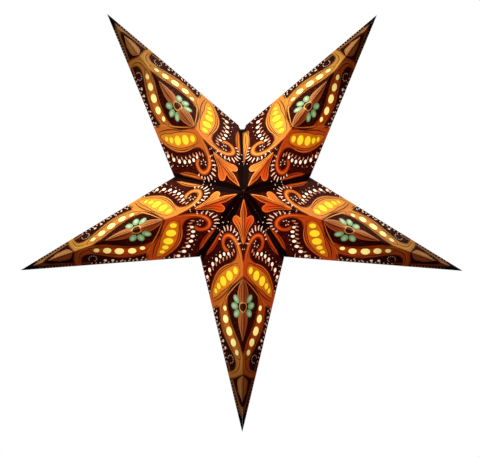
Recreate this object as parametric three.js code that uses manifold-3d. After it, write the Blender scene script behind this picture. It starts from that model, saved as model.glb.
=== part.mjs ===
// A five-armed lantern star folded from die-cut card, lined with tissue and lit from
// inside by a lampholder that hangs through its top notch. Units are millimetres.
// The star faces -Y, +Z is up, and the origin is the top of the cord gland.
import * as THREE from 'three';
import { mergeVertices } from 'three/addons/utils/BufferGeometryUtils.js';
import Module from 'manifold-3d';

const wasm = await Module();
wasm.setup();

// Driving dimensions
const TIP_RADIUS = 315; // star centre to the tip of an arm
const NOTCH_RADIUS = 97; // star centre to the notch between two arms
const HALF_DEPTH = 92; // star plane to the front or the back apex
const CARD = 0.5; // thickness of a card panel
const TISSUE = 0.2; // thickness of the tissue lining
const CLEARANCE = 0.3; // gap between neighbouring pieces
const ARMS = 5;

const FOLD_RELIEF = 0.4; // back panels are trimmed this much at each ridge, to pass as they fold
const SEAM_MARGIN = 14; // tissue stops this far short of the open seam
const FLAP = { thickness: 0.3, width: 11, share: 0.62 }; // tuck-in flap on the front seam

const GLAND = { radius: 4.5, bore: 3.3, length: 15, recess: 2 };
const REST_DISC = { radius: 10, thickness: 1.6 };
const HOLDER = { radius: 14, wall: 1.6, capLength: 13, length: 34, shoulder: 8 };
const CONTACT = { radius: 9, thickness: 6 };
const BULB = { globe: 22, neck: 6.2, wall: 0.8, capRadius: 6.9, capLength: 20, length: 76 };
const FILAMENT = { wire: 0.5, height: 24, spread: 5, stem: 2 };

const EYELET = { bore: 1.4, barrel: 2, flange: 3.6, flangeThickness: 0.4, inset: 8 };
const EYELET_STATIONS = [38, 78]; // distance of each tie from the top notch, along the seam
const STRING_RADIUS = 0.7;
const KNOT_RADIUS = 2;
const TAIL_LENGTH = 9;

// Pattern windows: share of the way to the tip, share of the way to the notch, and
// radius as a share of the distance from the ridge to the notch.
const LEAF_WINDOWS = [
  [0.276, 0.183, 0.049], [0.261, 0.32, 0.075], [0.246, 0.458, 0.075],
  [0.242, 0.555, 0.049], [0.247, 0.618, 0.041],
];
const STEM_WINDOWS = [
  [0.373, 0.412, 0.041], [0.419, 0.4, 0.064], [0.493, 0.309, 0.075],
  [0.564, 0.217, 0.068], [0.628, 0.137, 0.05],
];
const WINDOW_SIDES = 8;

const centre = new THREE.Vector3(0, 0, GLAND.recess - NOTCH_RADIUS);
const sectorAngle = Math.PI / ARMS;
const halfGap = CLEARANCE / 2;
const tissueDepth = CARD + CLEARANCE;

const finish = {
  card: { color: 0x4a0d14, roughness: 0.72, metalness: 0 },
  tissue: { color: 0xf0a64a, roughness: 0.9, metalness: 0 },
  flap: { color: 0xb4551f, roughness: 0.75, metalness: 0 },
  string: { color: 0xb9a384, roughness: 0.95, metalness: 0 },
  brass: { color: 0xc9a24a, roughness: 0.35, metalness: 1 },
  plastic: { color: 0x17120f, roughness: 0.5, metalness: 0 },
  ceramic: { color: 0xe8e2d6, roughness: 0.4, metalness: 0 },
  glass: { color: 0xfff2d0, roughness: 0.1, metalness: 0, transparent: true, opacity: 0.5 },
  filament: { color: 0xffc860, roughness: 0.4, metalness: 0.3 },
};

// Solids

function toSolid(geometry) {
  geometry.deleteAttribute('normal');
  geometry.deleteAttribute('uv');
  const merged = mergeVertices(geometry, 1e-5);
  return new wasm.Manifold(new wasm.Mesh({
    numProp: 3,
    vertProperties: new Float32Array(merged.attributes.position.array),
    triVerts: new Uint32Array(merged.index.array),
  }));
}

function toGeometry(solid) {
  const mesh = solid.getMesh();
  const geometry = new THREE.BufferGeometry();
  geometry.setAttribute('position', new THREE.BufferAttribute(mesh.vertProperties, 3));
  geometry.setIndex(new THREE.BufferAttribute(mesh.triVerts, 1));
  return geometry;
}

function part(name, geometry, look) {
  const flat = geometry.index ? geometry.toNonIndexed() : geometry;
  flat.computeVertexNormals();
  const mesh = new THREE.Mesh(flat, new THREE.MeshStandardMaterial(finish[look]));
  mesh.name = name;
  return mesh;
}

function turned(profile, sides) {
  const geometry = new THREE.LatheGeometry(profile.map(([r, z]) => new THREE.Vector2(r, z)), sides);
  return geometry.rotateX(Math.PI / 2); // the lathe's axis becomes Z
}

// A ring turned from a closed section, listed anticlockwise with the axis on the left
function ring(inner, outer, low, high, sides) {
  return turned([[inner, low], [outer, low], [outer, high], [inner, high], [inner, low]], sides);
}

function tube(points, radius, sides) {
  const section = new THREE.Shape();
  for (let i = 0; i < sides; i += 1) {
    const angle = (2 * Math.PI * i) / sides;
    const corner = [radius * Math.cos(angle), radius * Math.sin(angle)];
    if (i === 0) section.moveTo(...corner);
    else section.lineTo(...corner);
  }
  const path = new THREE.CatmullRomCurve3(points);
  return new THREE.ExtrudeGeometry(section, {
    extrudePath: path, steps: 3 * (points.length - 1), bevelEnabled: false,
  });
}

// The star's facets. Sector i spans crease i-1 to crease i, clockwise from the top
// notch; an odd crease is the ridge of an arm and an even one the valley at a notch.

function creasePoint(index) {
  const angle = sectorAngle * index;
  const radius = index % 2 ? TIP_RADIUS : NOTCH_RADIUS;
  return new THREE.Vector3(radius * Math.sin(angle), 0, radius * Math.cos(angle)).add(centre);
}

// A facet's own frame has its origin at the apex, X along the ridge to the tip and Y
// towards the notch. `out` is +1 where Z points out of the star and -1 where it points in.
function facetFrame(sector, face) {
  const apex = new THREE.Vector3(0, face * HALF_DEPTH, 0).add(centre);
  const ridgeFirst = sector % 2 === 0;
  const tip = creasePoint(ridgeFirst ? sector - 1 : sector);
  const notch = creasePoint(ridgeFirst ? sector : sector - 1);
  const alongRidge = tip.clone().sub(apex);
  const toNotch = notch.clone().sub(apex);
  const x = alongRidge.clone().normalize();
  const y = toNotch.clone().addScaledVector(x, -toNotch.dot(x)).normalize();
  const z = new THREE.Vector3().crossVectors(x, y);
  const out = Math.sign(z.y * face);
  const matrix = new THREE.Matrix4().makeBasis(x, y, z).setPosition(apex);
  const outward = z.clone().multiplyScalar(out);
  return {
    matrix,
    out,
    outward,
    tip: new THREE.Vector2(alongRidge.length(), 0),
    notch: new THREE.Vector2(toNotch.dot(x), toNotch.dot(y)),
    edges: facetEdges(x, y, outward, tip, notch, apex),
  };
}

// Each edge of a facet: its line and its bisecting plane's slope, as how far the edge
// moves into the facet for each millimetre of depth, and for each millimetre of gap.
function facetEdges(x, y, outward, tip, notch, apex) {
  const starAxis = new THREE.Vector3(0, 1, 0);
  const planes = [
    { from: apex, to: tip, bisector: starAxis.clone().cross(tip.clone().sub(centre)) },
    { from: tip, to: notch, bisector: starAxis.clone() },
    { from: notch, to: apex, bisector: starAxis.clone().cross(notch.clone().sub(centre)) },
  ];
  const middle = apex.clone().add(tip).add(notch).divideScalar(3);
  return planes.map(({ from, to, bisector }) => {
    const normal = bisector.normalize();
    if (normal.dot(middle.clone().sub(from)) < 0) normal.negate();
    const along = to.clone().sub(from).normalize();
    const inward = new THREE.Vector3().crossVectors(outward, along);
    if (inward.dot(middle.clone().sub(from)) < 0) inward.negate();
    const local = (v) => new THREE.Vector2(v.dot(x), v.dot(y));
    return {
      point: local(from.clone().sub(apex)),
      along: local(along),
      inward: local(inward),
      perDepth: normal.dot(outward) / normal.dot(inward),
      perGap: 1 / normal.dot(inward),
    };
  });
}

// Outline of a facet at a depth below its outer face, mitred on its three bisecting
// planes with half a gap at each, and pulled in by a further margin per edge.
function facetOutline(facet, depth, margins = [0, 0, 0]) {
  const lines = facet.edges.map((edge, i) => {
    const shift = depth * edge.perDepth + halfGap * edge.perGap + margins[i];
    return { point: edge.point.clone().addScaledVector(edge.inward, shift), along: edge.along };
  });
  return [[2, 0], [0, 1], [1, 2]].map(([a, b]) => crossing(lines[a], lines[b]));
}

function crossing(first, second) {
  const offset = second.point.clone().sub(first.point);
  const scale = offset.cross(second.along) / first.along.cross(second.along);
  return first.point.clone().addScaledVector(first.along, scale);
}

// A flat plate between two depths of a facet, its outline given at each depth
function plate(facet, topOutline, top, bottomOutline, bottom) {
  const count = topOutline.length;
  const level = (outline, depth) => outline.flatMap((p) => [p.x, p.y, -depth * facet.out]);
  const positions = [...level(topOutline, top), ...level(bottomOutline, bottom)];
  const faces = [];
  for (let i = 1; i < count - 1; i += 1) {
    faces.push([0, i, i + 1], [count, count + i + 1, count + i]);
  }
  for (let i = 0; i < count; i += 1) {
    const next = (i + 1) % count;
    faces.push([i, count + i, count + next], [i, count + next, next]);
  }
  const wound = facet.out > 0 ? faces : faces.map(([a, b, c]) => [a, c, b]);
  const geometry = new THREE.BufferGeometry();
  geometry.setAttribute('position', new THREE.Float32BufferAttribute(positions, 3));
  geometry.setIndex(wound.flat());
  return geometry;
}

function facetPlate(facet, top, bottom, margins) {
  return plate(
    facet,
    facetOutline(facet, top, margins),
    top,
    facetOutline(facet, bottom, margins),
    bottom,
  );
}

function roundPunch(x, y, radius, sides) {
  const reach = 4 * CARD;
  const punch = new THREE.CylinderGeometry(radius, radius, 2 * reach, sides);
  return toSolid(punch.rotateX(Math.PI / 2).translate(x, y, 0));
}

function windowPunches(facet) {
  return [...LEAF_WINDOWS, ...STEM_WINDOWS].map(([toTip, toNotch, size]) => {
    const spot = facet.tip.clone().multiplyScalar(toTip).addScaledVector(facet.notch, toNotch);
    return roundPunch(spot.x, spot.y, size * facet.notch.y, WINDOW_SIDES);
  });
}

// Clears the cord gland where the four seam panels meet at the top notch
function glandPunch(facet) {
  const radius = GLAND.radius + CLEARANCE;
  const punch = new THREE.CylinderGeometry(radius, radius, 3 * GLAND.length, 24);
  punch.rotateX(Math.PI / 2);
  return toSolid(punch.applyMatrix4(facet.matrix.clone().invert()));
}

// Points beside the seam, measured from the top notch along the seam and in from it
function seamPoint(facet, distance, inset) {
  const toApex = facet.notch.clone().negate().normalize();
  const inward = facet.edges[2].inward;
  return facet.notch.clone().addScaledVector(toApex, distance).addScaledVector(inward, inset);
}

const lastSector = 2 * ARMS;
const touchesSeam = (sector) => sector === 1 || sector === lastSector;
const isTied = (sector, face) => touchesSeam(sector) && face > 0;

const ridgeRelief = (face) => (face > 0 ? FOLD_RELIEF : 0);

function cardPanel(facet, sector, face) {
  let solid = toSolid(facetPlate(facet, 0, CARD, [ridgeRelief(face), 0, 0]));
  const punches = windowPunches(facet);
  if (touchesSeam(sector)) punches.push(glandPunch(facet));
  if (isTied(sector, face)) {
    for (const station of EYELET_STATIONS) {
      const spot = seamPoint(facet, station, EYELET.inset);
      punches.push(roundPunch(spot.x, spot.y, EYELET.barrel + CLEARANCE, 12));
    }
  }
  for (const punch of punches) solid = solid.subtract(punch);
  return toGeometry(solid);
}

function tissueLining(facet, sector, face) {
  const margins = [ridgeRelief(face), 0, touchesSeam(sector) ? SEAM_MARGIN : 0];
  return facetPlate(facet, tissueDepth, tissueDepth + TISSUE, margins);
}

// The flap lies on the first front panel, beside the seam, and narrows towards the apex
function seamFlap(facet) {
  const start = GLAND.radius + GLAND.length / 2;
  const end = FLAP.share * facet.notch.length();
  const gap = halfGap * facet.edges[2].perGap + FLAP.thickness + CLEARANCE;
  const outline = [
    seamPoint(facet, end, gap),
    seamPoint(facet, (start + end) / 2, FLAP.width * 0.8),
    seamPoint(facet, start, FLAP.width),
    seamPoint(facet, start, gap),
  ];
  return plate(facet, outline, -CLEARANCE - FLAP.thickness, outline, -CLEARANCE);
}

function placeOnFacet(mesh, facet) {
  mesh.position.setFromMatrixPosition(facet.matrix);
  mesh.quaternion.setFromRotationMatrix(facet.matrix);
  return mesh;
}

// An eyelet's flange stands outside the card and its barrel passes through it
function eyelet(facet, station) {
  const spot = seamPoint(facet, station, EYELET.inset);
  const flangeBase = CLEARANCE;
  const section = [
    [EYELET.bore, -CARD - CLEARANCE], [EYELET.barrel, -CARD - CLEARANCE],
    [EYELET.barrel, flangeBase], [EYELET.flange, flangeBase],
    [EYELET.flange, flangeBase + EYELET.flangeThickness],
    [EYELET.bore, flangeBase + EYELET.flangeThickness], [EYELET.bore, -CARD - CLEARANCE],
  ];
  const geometry = turned(section, 12);
  if (facet.out < 0) geometry.rotateX(Math.PI);
  return geometry.translate(spot.x, spot.y, 0);
}

// Half of a tie: it comes out of its eyelet, crosses to the seam and stops at the
// middle. The first panel's half carries the knot and its two tails.
function tieHalf(facet, station, withKnot) {
  const height = CLEARANCE + EYELET.flangeThickness + STRING_RADIUS + CLEARANCE;
  const onFacet = (inset, lift) => {
    const spot = seamPoint(facet, station, inset);
    return new THREE.Vector3(spot.x, spot.y, lift * facet.out);
  };
  const seam = facet.edges[2];
  // The seam's bisecting plane leans over the facet by this much per millimetre of height
  const lean = -seam.perDepth;
  const middleHeight = (EYELET.inset / lean + height) / (1 + 1 / (lean * lean));
  const endGap = (withKnot ? KNOT_RADIUS : STRING_RADIUS) + halfGap * seam.perGap;
  const mid = onFacet(middleHeight * lean + endGap, middleHeight);
  const points = [
    onFacet(EYELET.inset, -CARD), onFacet(EYELET.inset, height * 0.6),
    onFacet(EYELET.inset * 0.9, height), mid,
  ];
  const string = tube(points, STRING_RADIUS, 6);
  if (!withKnot) return string;
  const lump = new THREE.IcosahedronGeometry(KNOT_RADIUS, 1).translate(mid.x, mid.y, mid.z);
  const away = facet.notch.clone().normalize();
  let solid = toSolid(string).add(toSolid(lump));
  for (const side of [-1, 1]) {
    const tail = [0, 0.5, 1].map((share) => new THREE.Vector3(
      mid.x + side * away.x * TAIL_LENGTH * share,
      mid.y + side * away.y * TAIL_LENGTH * share,
      mid.z + facet.out * Math.sin(share * Math.PI) * STRING_RADIUS * 2,
    ));
    solid = solid.add(toSolid(tube(tail, STRING_RADIUS, 6)));
  }
  return toGeometry(solid);
}

function buildStar() {
  const star = new THREE.Group();
  const number = (sector) => String(sector).padStart(2, '0');
  for (const [face, side] of [[-1, 'front'], [1, 'back']]) {
    for (let sector = 1; sector <= lastSector; sector += 1) {
      const facet = facetFrame(sector, face);
      const tag = number(sector);
      const panel = part(`${side}_panel_${tag}`, cardPanel(facet, sector, face), 'card');
      const lining = part(`${side}_tissue_${tag}`, tissueLining(facet, sector, face), 'tissue');
      star.add(placeOnFacet(panel, facet), placeOnFacet(lining, facet));
      if (isTied(sector, face)) addTies(star, facet, sector);
      if (sector === 1 && face < 0) {
        star.add(placeOnFacet(part('seam_flap', seamFlap(facet), 'flap'), facet));
      }
    }
  }
  return star;
}

function addTies(star, facet, sector) {
  const hand = sector === 1 ? 'right' : 'left';
  EYELET_STATIONS.forEach((station, i) => {
    const level = i === 0 ? 'upper' : 'lower';
    const ringPart = part(`${level}_eyelet_${hand}`, eyelet(facet, station), 'brass');
    const tie = part(`${level}_tie_${hand}`, tieHalf(facet, station, sector === 1), 'string');
    star.add(placeOnFacet(ringPart, facet), placeOnFacet(tie, facet));
  });
}

// The light: gland, rest disc, lampholder and bulb, all on the vertical axis

// The seam's two creases slope down from the notch and rest on the rim of the disc
const seamNormal = facetFrame(1, -1).outward;
const creaseAtRim = GLAND.recess - (REST_DISC.radius * NOTCH_RADIUS) / HALF_DEPTH;
const discTop = creaseAtRim - (CARD + CLEARANCE) / seamNormal.z;
const capTop = discTop - REST_DISC.thickness - CLEARANCE;
const capFoot = capTop - HOLDER.capLength;
const holderTop = capFoot - CLEARANCE;
const holderFoot = holderTop - HOLDER.length;
const contactTop = holderTop - HOLDER.wall - CLEARANCE;
const bulbTop = contactTop - CONTACT.thickness - CLEARANCE;

function lampholderCap() {
  const wall = HOLDER.wall;
  const hole = GLAND.radius + CLEARANCE;
  return turned([
    [HOLDER.radius - wall, capFoot], [HOLDER.radius, capFoot],
    [HOLDER.radius, capFoot + 3], [HOLDER.radius - 1.5, capFoot + 6],
    [HOLDER.shoulder, capTop], [hole, capTop], [hole, capTop - wall],
    [HOLDER.shoulder - wall, capTop - wall], [HOLDER.radius - wall - 1.5, capFoot + 4.5],
    [HOLDER.radius - wall, capFoot],
  ], 24);
}

function lampholderBody() {
  const wall = HOLDER.wall;
  const bore = CONTACT.radius + CLEARANCE;
  return turned([
    [bore, holderFoot], [HOLDER.radius - wall, holderFoot], [HOLDER.radius, holderFoot + wall],
    [HOLDER.radius, holderTop], [bore, holderTop], [bore, holderFoot],
  ], 24);
}

function contactBlock() {
  return turned([
    [0, contactTop - CONTACT.thickness], [CONTACT.radius, contactTop - CONTACT.thickness],
    [CONTACT.radius, contactTop], [0, contactTop],
  ], 20);
}

const neckTop = bulbTop - BULB.capLength - CLEARANCE;
const globeMiddle = bulbTop - BULB.length + BULB.globe;

function bulbCap() {
  const floor = bulbTop - 3;
  const foot = bulbTop - BULB.capLength;
  return turned([
    [0, floor], [BULB.capRadius - 1, floor], [BULB.capRadius - 1, foot], [BULB.capRadius, foot],
    [BULB.capRadius, bulbTop - 4], [3, bulbTop], [0, bulbTop],
  ], 20);
}

function bulbGlass() {
  const start = Math.asin(BULB.neck / BULB.globe);
  const arc = (radius, from, to, steps) => Array.from({ length: steps + 1 }, (_, i) => {
    const angle = from + ((to - from) * i) / steps;
    return [radius * Math.sin(angle), globeMiddle + radius * Math.cos(angle)];
  });
  const innerRadius = BULB.globe - BULB.wall;
  const innerStart = Math.asin((BULB.neck - BULB.wall) / innerRadius);
  return turned([
    ...arc(BULB.globe, Math.PI, start, 10),
    [BULB.neck, neckTop], [BULB.neck - BULB.wall, neckTop],
    ...arc(innerRadius, innerStart, Math.PI, 10),
  ], 20);
}

// Glass stem and two lead wires carrying a looped filament
function bulbFilament() {
  const top = neckTop - CLEARANCE;
  const stem = new THREE.CylinderGeometry(FILAMENT.stem, FILAMENT.stem, 12, 10);
  let solid = toSolid(stem.rotateX(Math.PI / 2).translate(0, 0, top - 6));
  const loop = [-1, -0.9, -0.4, 0.4, 0.9, 1].map((share) => new THREE.Vector3(
    share * FILAMENT.spread * (Math.abs(share) === 1 ? 0.25 : 1),
    0,
    top - 10 - FILAMENT.height * (1 - share * share),
  ));
  solid = solid.add(toSolid(tube(loop, FILAMENT.wire, 6)));
  return toGeometry(solid);
}

function buildLight() {
  const light = new THREE.Group();
  const discHole = GLAND.radius + CLEARANCE;
  light.add(
    part('cord_gland', ring(GLAND.bore, GLAND.radius, -GLAND.length, 0, 24), 'plastic'),
    part('rest_disc', ring(discHole, REST_DISC.radius, discTop - REST_DISC.thickness, discTop, 24), 'card'),
    part('lampholder_cap', lampholderCap(), 'plastic'),
    part('lampholder_body', lampholderBody(), 'plastic'),
    part('contact_block', contactBlock(), 'ceramic'),
    part('bulb_cap', bulbCap(), 'brass'),
    part('bulb_glass', bulbGlass(), 'glass'),
    part('bulb_filament', bulbFilament(), 'filament'),
  );
  return light;
}

const lantern = new THREE.Group();
lantern.add(buildStar(), buildLight());

export default lantern;
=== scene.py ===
"""Paper star lantern: pierced and printed card panels over tissue, lit from inside.

The star faces -Y and hangs with +Z up. Shapes are drawn in millimetres on a flat facet
and put in place in metres, in the frame that the CAD model sets.
"""

import math

import bpy
from mathutils import Matrix, Vector


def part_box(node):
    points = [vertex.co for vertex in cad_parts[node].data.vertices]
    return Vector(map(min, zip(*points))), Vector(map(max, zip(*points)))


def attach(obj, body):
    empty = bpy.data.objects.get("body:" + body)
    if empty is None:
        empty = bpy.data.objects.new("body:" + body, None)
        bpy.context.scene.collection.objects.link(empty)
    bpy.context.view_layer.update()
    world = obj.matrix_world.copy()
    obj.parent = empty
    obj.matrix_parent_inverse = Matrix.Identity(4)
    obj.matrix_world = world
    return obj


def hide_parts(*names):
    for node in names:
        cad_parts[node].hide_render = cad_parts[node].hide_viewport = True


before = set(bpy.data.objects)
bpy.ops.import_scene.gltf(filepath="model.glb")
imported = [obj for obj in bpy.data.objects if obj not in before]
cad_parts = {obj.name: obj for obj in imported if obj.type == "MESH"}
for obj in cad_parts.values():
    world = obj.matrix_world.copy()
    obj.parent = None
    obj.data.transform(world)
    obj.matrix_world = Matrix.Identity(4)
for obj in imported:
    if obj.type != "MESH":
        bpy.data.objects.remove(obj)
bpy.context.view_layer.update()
bpy.ops.object.select_all(action="DESELECT")

MM = 0.001

# The star's own sizes, in millimetres, as its panels were cut
TIP_RADIUS = 315.0
NOTCH_RADIUS = 97.0
HALF_DEPTH = 92.0
CENTRE = Vector((0.0, 0.0, 2.0 - NOTCH_RADIUS))
ARMS = 5
SEAM_SECTORS = (1, 10)  # the panels beside the open seam at the top notch
HALF_GAP = 0.15  # each panel stops this far short of its fold
GAP_TAPER = 0.11  # front ridges close up by this much towards the tip
TIP_BLUNT = 1.13  # panels end this far short of the sharp corner
FOLD_RELIEF = 0.4  # back panels stop this much further from their ridges
CARD_FACE = 0.1  # card lies this far under the outer plane, with the inks above it
CARD_BACK = 0.5

# How far the cut at each edge of a facet leans, where it meets its neighbour
RIDGE_LEAN = math.radians(40.69)
EDGE_LEAN = math.radians(51.26)
VALLEY_LEAN = math.radians(59.60)

EYELET_STATIONS = {"upper": 38.0, "lower": 78.0}  # along the back seam, from the notch
EYELET_INSET = 8.0  # from the seam to the middle of an eyelet

# ---------------------------------------------------------------- camera and light

CAMERA_DISTANCE = 2.52
CAMERA_ELEVATION = math.radians(-6.0)
CAMERA_AZIMUTH = math.radians(-1.3)
CAMERA_AIM = Vector((-0.003, 0.0, -0.040))  # from the star's centre
CAMERA_LENS = 139.5

FLOOR_SIZE = 5.0
FLOOR_HEIGHT = -0.66
FLOOR_FADE = 2.4  # the floor's painted glow makes it white from this distance on

star_centre = CENTRE * MM


def look_at(thing, target):
    thing.rotation_euler = (target - thing.location).to_track_quat("-Z", "Y").to_euler()


def add_camera():
    data = bpy.data.cameras.new("camera")
    data.lens = CAMERA_LENS
    data.sensor_width = 36.0
    camera = bpy.data.objects.new("camera", data)
    bpy.context.collection.objects.link(camera)
    away = Vector((
        math.sin(CAMERA_AZIMUTH) * math.cos(CAMERA_ELEVATION),
        -math.cos(CAMERA_AZIMUTH) * math.cos(CAMERA_ELEVATION),
        math.sin(CAMERA_ELEVATION),
    ))
    camera.location = star_centre + CAMERA_DISTANCE * away
    look_at(camera, star_centre + CAMERA_AIM)
    bpy.context.scene.camera = camera


def add_softbox(name, direction, distance, size, power, tint):
    data = bpy.data.lights.new(name, "AREA")
    data.shape = "SQUARE"
    data.size = size
    data.energy = power
    data.color = tint
    lamp = bpy.data.objects.new(name, data)
    bpy.context.collection.objects.link(lamp)
    lamp.location = star_centre + Vector(direction).normalized() * distance
    look_at(lamp, star_centre)


def add_room():
    """A white room to the eye that adds only a little light of its own."""
    world = bpy.data.worlds.new("white room")
    bpy.context.scene.world = world
    world.use_nodes = True
    tree = world.node_tree
    seen = give(tree, tree.nodes["Background"], {"Color": (1.0, 1.0, 1.0, 1.0), "Strength": 1.0})
    dim = give(tree, add_node(tree, "Background"), {
        "Color": (1.0, 0.95, 0.9, 1.0), "Strength": 0.035})
    mix = add_node(tree, "MixShader")
    tree.links.new(add_node(tree, "LightPath").outputs["Is Camera Ray"], mix.inputs["Fac"])
    tree.links.new(dim.outputs[0], mix.inputs[1])
    tree.links.new(seen.outputs[0], mix.inputs[2])
    tree.links.new(mix.outputs[0], tree.nodes["World Output"].inputs["Surface"])

    bpy.ops.mesh.primitive_plane_add(size=FLOOR_SIZE, location=(0.0, 0.0, FLOOR_HEIGHT))
    floor = bpy.context.active_object
    floor.name = "floor"
    floor.visible_diffuse = False
    floor.visible_glossy = False
    matt, tree, shader = new_material("pale floor with painted glow")
    # The floor's glow is painted light: faint under the star, rising to full white towards its
    # edge.
    away = length_of(tree, add_node(tree, "TexCoord").outputs["Object"])
    give(tree, shader, {
        "Base Color": (0.86, 0.85, 0.83, 1.0), "Roughness": 0.9, "Emission Strength": 1.0,
        "Emission Color": curve_of(tree, calc(tree, "DIVIDE", away, FLOOR_FADE), [
            (0.0, 0.06), (0.35, 0.22), (0.7, 0.72), (1.0, 1.0)])})
    floor.data.materials.append(matt)


# ---------------------------------------------------------------- modelling helpers


def only(piece):
    bpy.ops.object.select_all(action="DESELECT")
    piece.select_set(True)
    bpy.context.view_layer.objects.active = piece


def in_edit_mode(piece, work):
    only(piece)
    bpy.ops.object.mode_set(mode="EDIT")
    bpy.ops.mesh.select_all(action="SELECT")
    work()
    bpy.ops.object.mode_set(mode="OBJECT")


def settle(piece):
    """Puts the piece's place into its mesh, with its object back at the origin."""
    only(piece)
    bpy.ops.object.transform_apply(location=True, rotation=True, scale=True)


def face_out(piece):
    in_edit_mode(piece, lambda: bpy.ops.mesh.normals_make_consistent(inside=False))


def merge_and_face_out(piece, distance=1e-4):
    in_edit_mode(piece, lambda: bpy.ops.mesh.remove_doubles(threshold=distance))
    face_out(piece)


def trim(piece, point, outward):
    """Cuts away what lies beyond a plane, and closes the cut."""
    def work():
        bpy.ops.mesh.bisect(
            plane_co=point, plane_no=outward, use_fill=True, clear_outer=True, threshold=1e-5)
    in_edit_mode(piece, work)


def copy_of(piece, name):
    twin = piece.copy()
    twin.data = piece.data.copy()
    twin.name = name
    bpy.context.collection.objects.link(twin)
    return twin


def join(pieces, name):
    only(pieces[0])
    for piece in pieces:
        piece.select_set(True)
    if len(pieces) > 1:
        bpy.ops.object.join()
    joined = bpy.context.active_object
    joined.name = joined.data.name = name
    return joined


def discard(piece):
    mesh = piece.data
    bpy.data.objects.remove(piece)
    bpy.data.meshes.remove(mesh)


# ---------------------------------------------------------------- drawing helpers

# A drawn outline is a list of (x, y). A third value marks a sharp corner.


def flowing(points, closed=True, step=2.0):
    """A smooth line through the points, sampled about every step millimetres."""
    count = len(points)
    spots = [Vector(p[:2]) for p in points]
    sharp = [len(p) > 2 for p in points]
    line = []
    for i in range(count if closed else count - 1):
        j = (i + 1) % count
        a, b = spots[i], spots[j]
        before, after = spots[i - 1], spots[(j + 1) % count]
        if sharp[i] or (not closed and i == 0):
            before = a
        if sharp[j] or (not closed and j == count - 1):
            after = b
        leave, arrive = (b - before) / 2, (after - a) / 2
        pieces = max(1, round((b - a).length / step))
        if sharp[i] and sharp[j]:
            pieces = 1
        for k in range(pieces):
            t = k / pieces
            line.append(
                a * (2 * t ** 3 - 3 * t ** 2 + 1) + leave * (t ** 3 - 2 * t ** 2 + t)
                + b * (3 * t ** 2 - 2 * t ** 3) + arrive * (t ** 3 - t ** 2))
    if not closed:
        line.append(spots[-1])
    return line


def inset(outline, margin):
    """The outline drawn again, margin millimetres inside itself."""
    count = len(outline)
    area = sum(outline[i].cross(outline[(i + 1) % count]) for i in range(count))
    turn = 1.0 if area > 0 else -1.0
    drawn = []
    for i, spot in enumerate(outline):
        along = (outline[(i + 1) % count] - outline[i - 1]).normalized()
        drawn.append(spot + turn * margin * Vector((-along.y, along.x)))
    return drawn


def brush(points, width, step=2.0):
    """A brush stroke through the points, widest at its middle and pointed at its ends."""
    line = flowing(points, closed=False, step=step)
    last = len(line) - 1
    left, right = [line[0]], []
    for i in range(1, last):
        along = (line[i + 1] - line[i - 1]).normalized()
        share = math.sin(math.pi * i / last) ** 0.6
        side = Vector((-along.y, along.x)) * width / 2 * share
        left.append(line[i] + side)
        right.append(line[i] - side)
    return left + [line[-1]] + right[::-1]


def heading(degrees):
    return Vector((math.cos(math.radians(degrees)), math.sin(math.radians(degrees))))


def oval(x, y, wide, tall, angle=0.0, sides=20):
    turn = Matrix.Rotation(angle, 2)
    return [
        Vector((x, y)) + turn @ Vector((
            wide * math.cos(2 * math.pi * k / sides), tall * math.sin(2 * math.pi * k / sides)))
        for k in range(sides)
    ]


def curve_mesh(name, lines, material, closed, **settings):
    """Lines through points in millimetres, drawn with a thickness and made a mesh."""
    data = bpy.data.curves.new(name, "CURVE")
    for key, value in settings.items():
        setattr(data, key, value)
    for line in lines:
        spline = data.splines.new("POLY")
        spline.points.add(len(line) - 1)
        for point, spot in zip(spline.points, line):
            point.co = (*spot.to_3d(), 1.0)
        spline.use_cyclic_u = closed
    piece = bpy.data.objects.new(name, data)
    bpy.context.collection.objects.link(piece)
    only(piece)
    bpy.ops.object.convert(target="MESH")
    piece = bpy.context.active_object
    piece.data.materials.clear()
    piece.data.materials.append(material)
    return piece


def flat_shapes(name, outlines, low, high, material):
    """Flat shapes cut out between two heights. An outline inside another is a hole."""
    piece = curve_mesh(name, outlines, material, True, dimensions="2D", fill_mode="BOTH",
                       extrude=(high - low) / 2)
    piece.location.z = (low + high) / 2
    settle(piece)
    merge_and_face_out(piece, 1e-3)
    return piece


def wire(name, points, radius, material, sides=2):
    """A round wire or strand through points in millimetres."""
    piece = curve_mesh(name, [points], material, False, dimensions="3D", bevel_depth=radius,
                       bevel_resolution=sides, use_fill_caps=True)
    merge_and_face_out(piece)
    return piece


def put(piece, place=None, smooth=35.0):
    """Moves a shape drawn in millimetres to its place, and shades it smooth."""
    piece.matrix_world = place if place else Matrix.Scale(MM, 4)
    flipped = piece.matrix_world.determinant() < 0
    settle(piece)
    if flipped:
        face_out(piece)
    only(piece)
    bpy.ops.object.shade_smooth_by_angle(angle=math.radians(smooth))
    return piece


def lathe(name, profile, material, steps=48, place=None, smooth=35.0):
    """Turns a closed profile of (radius, height) in millimetres round a standing axis."""
    bpy.ops.mesh.primitive_circle_add(vertices=len(profile), radius=1.0)
    piece = bpy.context.active_object
    piece.name = piece.data.name = name
    for vertex, (radius, height) in zip(piece.data.vertices, profile):
        vertex.co = (radius, 0.0, height)

    def work():
        bpy.ops.mesh.spin(
            steps=steps, angle=2 * math.pi, center=(0.0, 0.0, 0.0), axis=(0.0, 0.0, 1.0))
        bpy.ops.mesh.select_all(action="SELECT")
        bpy.ops.mesh.remove_doubles(threshold=1e-3)
        bpy.ops.mesh.delete_loose(use_verts=True, use_edges=True, use_faces=False)
        bpy.ops.mesh.select_all(action="SELECT")
        bpy.ops.mesh.normals_make_consistent(inside=False)
    in_edit_mode(piece, work)
    piece.data.materials.append(material)
    return put(piece, place, smooth)


# ---------------------------------------------------------------- materials


def add_node(tree, kind, **settings):
    node = tree.nodes.new("ShaderNode" + kind)
    for key, value in settings.items():
        setattr(node, key, value)
    return node


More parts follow.
